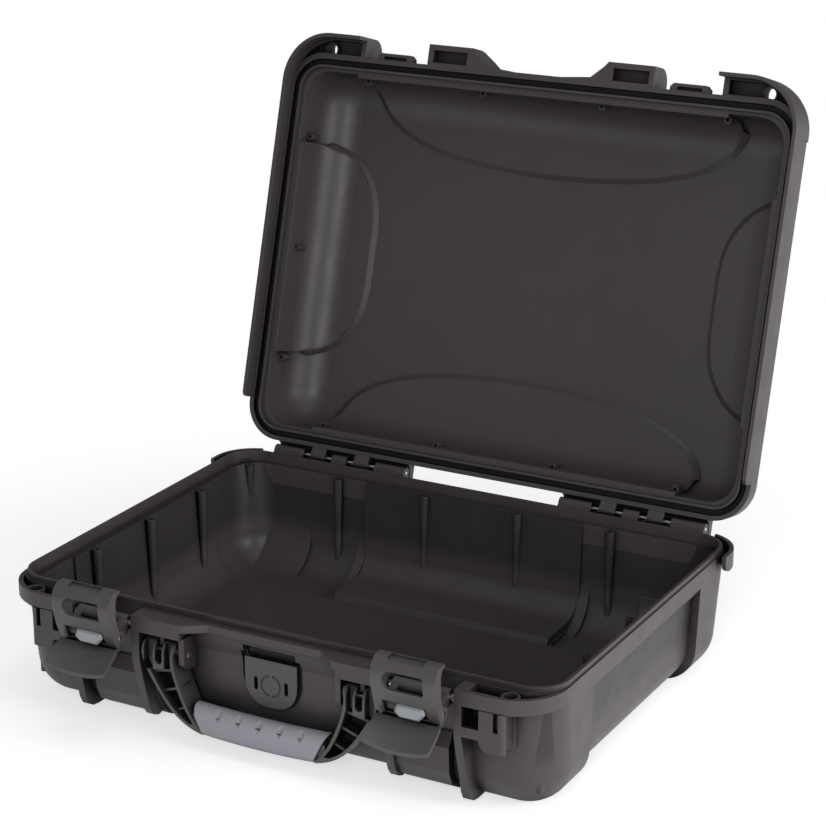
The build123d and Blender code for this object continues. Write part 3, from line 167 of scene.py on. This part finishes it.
def light_studio():
    """An even pale room that shows white behind the object, with soft boxes round it."""
    world = bpy.data.worlds.new("studio")
    bpy.context.scene.world = world
    world.use_nodes = True
    tree = world.node_tree
    tree.nodes.clear()
    room = add(tree, "Background", {"Color": linear(STUDIO_TONE), "Strength": STUDIO_LEVEL})
    behind = add(tree, "Background", {"Color": WHITE, "Strength": 1.0})
    camera_ray = add(tree, "LightPath").outputs["Is Camera Ray"]
    pick = add(tree, "MixShader", {0: camera_ray, 1: room.outputs[0], 2: behind.outputs[0]})
    tree.links.new(pick.outputs[0], add(tree, "OutputWorld").inputs["Surface"])
    for name, place, aim, width, height, power in SOFT_BOXES:
        lamp = bpy.data.lights.new(name, "AREA")
        lamp.shape = "RECTANGLE"
        lamp.size = width
        lamp.size_y = height
        lamp.energy = power
        holder = bpy.data.objects.new(name, lamp)
        holder.location = place
        sight = Vector(aim) - Vector(place)
        holder.rotation_euler = sight.to_track_quat("-Z", "Y").to_euler()
        bpy.context.scene.collection.objects.link(holder)


# ---------------------------------------------------------------- finishes

EDGE_SOFTNESS = 0.7 * MM  # radius that the light sees on every edge
DRIFT_SCALE = 9.0        # cycles per metre of the slow drift of tone
CLOUD_SCALE = 60.0       # and of the patches of gloss
CLOUD_LOW = 0.3          # the patches' noise lies between these two
CLOUD_HIGH = 0.7
GLOSSIER = 0.04          # how far the patches leave the roughness, down and up
DULLER = 0.05
RAY_SAMPLES = 4
RESIN_IOR = 1.49
FULL_SPECULAR = 0.5      # the level at which a surface reflects as its IOR says

# Painted shade: an ambient-occlusion node darkens colour and specular in narrow gaps and inside
# corners.
CREVICE_REACH = 20 * MM  # how far a narrow gap or an inside corner is felt
CREVICE_OPEN = 0.85      # free share of the half-sphere from which the full tone shows
CREVICE_SHUT = 0.25      # and below which the tone is darkest
CREVICE_SHADE_TONE = 0.12      # what is left of the tone there

BAND_PITCH = 0.9 * MM    # the coarser grain inside the base's walls, whose darker tone there is painted shade
BAND_DEPTH = 0.10 * MM
# Painted shade: the darker tone of the base's inner walls.
WALL_SHADE_TONE = "#2b2728"
BAND_BOTTOM = 34 * MM
BAND_BLEND = 14 * MM     # it comes up over this height, above the floor's round
BAND_TOP = 92 * MM
BAND_HALF_X = 215.5 * MM
BAND_HALF_Y = 152.5 * MM


def base_wall_zone(tree, place):
    """One on the inner walls of the base, between the floor's round and the rim."""
    spot = add(tree, "SeparateXYZ", {0: place}).outputs
    along = maths(tree, "LESS_THAN", maths(tree, "ABSOLUTE", spot[0]), BAND_HALF_X)
    across = maths(tree, "LESS_THAN", maths(tree, "ABSOLUTE", spot[1]), BAND_HALF_Y)
    lower = ranged(tree, spot[2], BAND_BOTTOM, BAND_BOTTOM + BAND_BLEND)
    upper = maths(tree, "LESS_THAN", spot[2], BAND_TOP)
    within = maths(tree, "MULTIPLY", along, across)
    return maths(tree, "MULTIPLY", within, maths(tree, "MULTIPLY", lower, upper))


def bumped(tree, height, depth, normal):
    """The normal, roughened by a height of the given depth."""
    return add(tree, "Bump", {"Height": height, "Distance": depth, "Strength": 1.0,
                              "Normal": normal}).outputs[0]


def moulded(name, tone, deep_tone, roughness, grain, grain_depth, banded=False):
    """Injection-moulded resin: a spark-eroded grain, slow drifts of tone, softened edges.

    Narrow gaps and inside corners are darkened with painted shade from an ambient-occlusion node,
    in colour and specular alike.
    grain and grain_depth are the pitch and height of the grain in metres, and banded adds
    the coarser grain inside the base's walls, with a darker tone there that is painted shade."""
    material, tree, out = fresh(name)
    place = add(tree, "TexCoord").outputs["Object"]
    drift = add(tree, "TexNoise", {"Vector": place, "Scale": DRIFT_SCALE, "Detail": 3.0})
    colour = blended(tree, drift.outputs[0], linear(deep_tone), linear(tone))
    cloud = add(tree, "TexNoise", {"Vector": place, "Scale": CLOUD_SCALE, "Detail": 4.0})
    gloss = ranged(tree, cloud.outputs[0], CLOUD_LOW, CLOUD_HIGH,
                   roughness - GLOSSIER, roughness + DULLER)
    specks = add(tree, "TexNoise", {"Vector": place, "Scale": 1.0 / grain, "Detail": 2.0})
    soft = add(tree, "Bevel", {"Radius": EDGE_SOFTNESS}, samples=RAY_SAMPLES)
    normal = bumped(tree, specks.outputs[0], grain_depth, soft.outputs[0])
    if banded:
        grain_and_shade_zone = base_wall_zone(tree, place)
        # Painted shade: the base's inner walls take a darker tone here; the pebbled bump below is
        # their real grain.
        colour = blended(tree, grain_and_shade_zone, colour, linear(WALL_SHADE_TONE))
        pebbles = add(tree, "TexNoise", {"Vector": place, "Scale": 1.0 / BAND_PITCH, "Detail": 1.0})
        hide = maths(tree, "MULTIPLY", pebbles.outputs[0], grain_and_shade_zone)
        normal = bumped(tree, hide, BAND_DEPTH, normal)
    # Painted shade: ambient occlusion scales colour and specular down in narrow gaps and inside
    # corners.
    crevice_occlusion = add(tree, "AmbientOcclusion", {"Distance": CREVICE_REACH}, samples=RAY_SAMPLES)
    free = ranged(tree, crevice_occlusion.outputs["AO"], CREVICE_SHUT, CREVICE_OPEN, CREVICE_SHADE_TONE, 1.0)
    skin = add(tree, "BsdfPrincipled", {
        "Base Color": blended(tree, free, BLACK, colour),
        "Roughness": gloss,
        "Specular IOR Level": maths(tree, "MULTIPLY", free, FULL_SPECULAR),
        "IOR": RESIN_IOR,
        "Normal": normal})
    tree.links.new(skin.outputs[0], out.inputs["Surface"])
    return material


RING_SCALE = 2500.0      # cycles per metre along the pin
RING_SMEAR = (1.0, 0.05, 0.05)  # the noise hardly changes round the pin
RING_GLOSS = 0.08        # how far the rings leave the roughness, both ways
RING_DEPTH = 0.01 * MM
RING_STRENGTH = 0.6


def ground_steel(name, tone, roughness):
    """Stainless rod, centreless ground: fine rings round the pin, a bright narrow gleam."""
    material, tree, out = fresh(name)
    place = add(tree, "TexCoord").outputs["Object"]
    across = add(tree, "Mapping", {"Vector": place, "Scale": RING_SMEAR}).outputs[0]
    rings = add(tree, "TexNoise", {"Vector": across, "Scale": RING_SCALE, "Detail": 2.0})
    gloss = ranged(tree, rings.outputs[0], 0.0, 1.0, roughness - RING_GLOSS, roughness + RING_GLOSS)
    bump = add(tree, "Bump", {"Height": rings.outputs[0], "Distance": RING_DEPTH,
                              "Strength": RING_STRENGTH})
    skin = add(tree, "BsdfPrincipled", {"Base Color": linear(tone), "Metallic": 1.0,
                                        "Roughness": gloss, "Normal": bump.outputs[0]})
    tree.links.new(skin.outputs[0], out.inputs["Surface"])
    return material


# Warm near-black walls with a fine satin grain, whose rounds take a broad soft sheen.
shell_resin = moulded("moulded_polypropylene_charcoal", "#413c3c", "#3b3636",
                      roughness=0.46, grain=0.5 * MM, grain_depth=0.035 * MM, banded=True)
# A shade paler and smoother than the shells, so latches and handle stand off from them.
latch_resin = moulded("moulded_nylon_charcoal", "#504d4c", "#484544",
                      roughness=0.42, grain=0.4 * MM, grain_depth=0.02 * MM)
# Soft mid grey with hardly any gleam, the largest pale spot of the front.
grip_rubber = moulded("overmoulded_rubber_grey", "#999aa1", "#919299",
                      roughness=0.62, grain=0.6 * MM, grain_depth=0.03 * MM)
# Pale buttons with a small crisp gleam.
slide_resin = moulded("moulded_acetal_light_grey", "#9ca0a4", "#909498",
                      roughness=0.36, grain=0.4 * MM, grain_depth=0.01 * MM)
# The black line in the lid's rim.
seal_rubber = moulded("extruded_rubber_black", "#171616", "#121111",
                      roughness=0.66, grain=0.5 * MM, grain_depth=0.02 * MM)
# White cloth behind the vent's shield.
filter_cloth = moulded("expanded_fluoropolymer_white", "#efefec", "#e6e6e2",
                       roughness=0.7, grain=0.3 * MM, grain_depth=0.02 * MM)
# Bright glints between the hinge's knuckles and at the latches' pins.
pin_steel = ground_steel("ground_stainless_steel", "#cfcdca", roughness=0.24)

SLOT_FINISH = {"shell": shell_resin, "latch": latch_resin, "seal": seal_rubber,
               "steel": pin_steel, "slide": slide_resin, "grip": grip_rubber,
               "membrane": filter_cloth}


def dress_nodes():
    """Every CAD node takes the finish of its slot."""
    for part in frame["record"]["subparts"]:
        mesh = frame["nodes"][part["node"]].data
        mesh.materials.clear()
        mesh.materials.append(SLOT_FINISH[part["material_slot"]])


# ---------------------------------------------------------------- lid's lens slopes

# All in millimetres, with the lid shut.
HINGE = np.array((170.5, 96.2))          # Y and Z of the hinge's axis
OPEN_ANGLE = math.radians(106.07)
HALF_RIB = np.array((220.0, 156.75))     # half the sealing rib's length and width
LID_FLOOR = 148.0                        # inside of the lid's top
CAVITY_WALL = np.array((9.845, 9.595))   # from the rib in to the wall, at the lid's floor
FLOOR_ROUND = 29.0                       # radius between the lid's floor and its walls
PAD_STEP = 3.0                           # height of the lens pads over the floor
PAD_BEVEL = 4.4                          # width of their slope
PAD_WALL = 2.87                          # from the lid's wall in to the pad's
BURIED = 0.3                             # how far a wedge's edges go into the shell
WALL_CLEAR = 7.0                         # a slope ends this far from the wall
LENS_STEPS = 160

# Half of each lens outline: inset from the rib, and distance along the wall from its middle.
LENS_END = ((13.0, 93.0), (42.0, 80.0), (63.0, 48.0), (66.5, 0.0))
LENS_WALL = ((19.75, 168.0), (37.75, 157.0), (54.75, 131.0),
             (63.75, 103.0), (72.25, 40.0), (73.75, 0.0))


def smooth_path(points, count):
    """Natural cubic spline through the points, in even steps along its chords.

    Between knots it is the usual blend of the two ends and their second derivatives m, where
    (h0 m0 + 2 (h0 + h1) m1 + h1 m2) / 6 equals the change of slope at each inner knot."""
    knots = np.concatenate(([0.0], np.cumsum(np.linalg.norm(np.diff(points, axis=0), axis=1))))
    step = np.diff(knots)
    slope = np.diff(points, axis=0) / step[:, None]
    system = np.eye(len(points))
    change = np.zeros_like(points)
    inner = np.arange(1, len(points) - 1)
    system[inner, inner - 1] = step[:-1] / 6
    system[inner, inner] = (step[:-1] + step[1:]) / 3
    system[inner, inner + 1] = step[1:] / 6
    change[inner] = slope[1:] - slope[:-1]
    bend = np.linalg.solve(system, change)
    at = np.linspace(0.0, knots[-1], count)
    cell = np.clip(np.searchsorted(knots, at, side="right") - 1, 0, len(step) - 1)
    wide = step[cell][:, None]
    far = (at[:, None] - knots[cell][:, None]) / wide
    near = 1 - far
    chord = near * points[cell] + far * points[cell + 1]
    bulge = (near ** 3 - near) * bend[cell] + (far ** 3 - far) * bend[cell + 1]
    return chord + bulge * wide ** 2 / 6


def skin_height(inset, top):
    """Height of a skin, inset from its wall: it leaves top by r - sqrt(r^2 - u^2) in the round,
    where u is how far the point lies into the round of radius r."""
    short = np.clip(FLOOR_ROUND - inset, 0.0, FLOOR_ROUND)
    return top - FLOOR_ROUND + np.sqrt(FLOOR_ROUND ** 2 - short ** 2)


def opened(shut):
    """Points of the shut lid turned about the hinge by the opening angle, in metres."""
    cosine, sine = math.cos(OPEN_ANGLE), math.sin(OPEN_ANGLE)
    dy, dz = shut[:, 1] - HINGE[0], shut[:, 2] - HINGE[1]
    moved = (shut[:, 0], HINGE[0] + dy * cosine + dz * sine, HINGE[1] - dy * sine + dz * cosine)
    return np.stack(moved, axis=1) * MM


def lens_slope(outline, axis, side):
    """Vertices and faces of one closed wedge along a lens: its edge on the floor, its edge on
    the pad, which lies a bevel nearer the wall and square to the outline, and a buried edge.

    axis is 0 for a lens at an end wall and 1 for one at a long wall, and side is its sign."""
    half = np.array(outline)
    points = np.concatenate((half, half[-2::-1] * (1.0, -1.0)))
    path = smooth_path(points, LENS_STEPS)
    path = path[path[:, 0] > CAVITY_WALL[axis] + WALL_CLEAR]
    along = np.gradient(path, axis=0)
    along /= np.linalg.norm(along, axis=1)[:, None]
    towards_wall = np.stack((along[:, 1], -along[:, 0]), axis=1)
    towards_wall *= np.sign(-towards_wall[len(path) // 2, 0])
    pad_edge = path + towards_wall * PAD_BEVEL
    rows = np.stack((path, pad_edge, pad_edge + towards_wall * BURIED), axis=1)
    from_wall = rows[..., 0] - CAVITY_WALL[axis]
    floor = skin_height(from_wall, LID_FLOOR)
    pad = skin_height(from_wall - PAD_WALL, LID_FLOOR - PAD_STEP)
    height = np.stack((floor[:, 0] + BURIED, pad[:, 1], floor[:, 2] + BURIED), axis=1)
    across = side * (HALF_RIB[axis] - rows[..., 0])
    flat = (across, rows[..., 1]) if axis == 0 else (rows[..., 1], across)
    shut = np.stack((flat[0], flat[1], height), axis=-1).reshape(-1, 3)
    first = 3 * np.arange(len(path) - 1)[:, None]
    edge = np.arange(3)[None, :]
    following = (edge + 1) % 3
    quads = np.stack((first + edge, first + following,
                      first + following + 3, first + edge + 3), axis=-1)
    last = 3 * (len(path) - 1)
    caps = [(2, 1, 0), (last, last + 1, last + 2)]
    return opened(shut), quads.reshape(-1, 4).tolist() + caps


def add_lens_slopes():
    """The four sloping borders of the lid's lens pads, whose band of light draws each lens."""
    vertices, faces = [], []
    for outline, axis in ((LENS_END, 0), (LENS_WALL, 1)):
        for side in (1, -1):
            corners, sheet = lens_slope(outline, axis, side)
            start = sum(len(block) for block in vertices)
            faces += [tuple(int(k) + start for k in face) for face in sheet]
            vertices.append(corners)
    mesh = bpy.data.meshes.new("lens_slopes")
    mesh.from_pydata(np.concatenate(vertices).tolist(), [], faces)
    wedges = bmesh.new()
    wedges.from_mesh(mesh)
    bmesh.ops.recalc_face_normals(wedges, faces=wedges.faces)
    wedges.to_mesh(mesh)
    wedges.free()
    piece = bpy.data.objects.new("lens_slopes", mesh)
    bpy.context.scene.collection.objects.link(piece)
    mesh.materials.append(shell_resin)
    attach(piece, "lid")


place_camera()
lay_floor()
light_studio()
dress_nodes()
add_lens_slopes()

bpy.context.scene.view_settings.view_transform = "Standard"
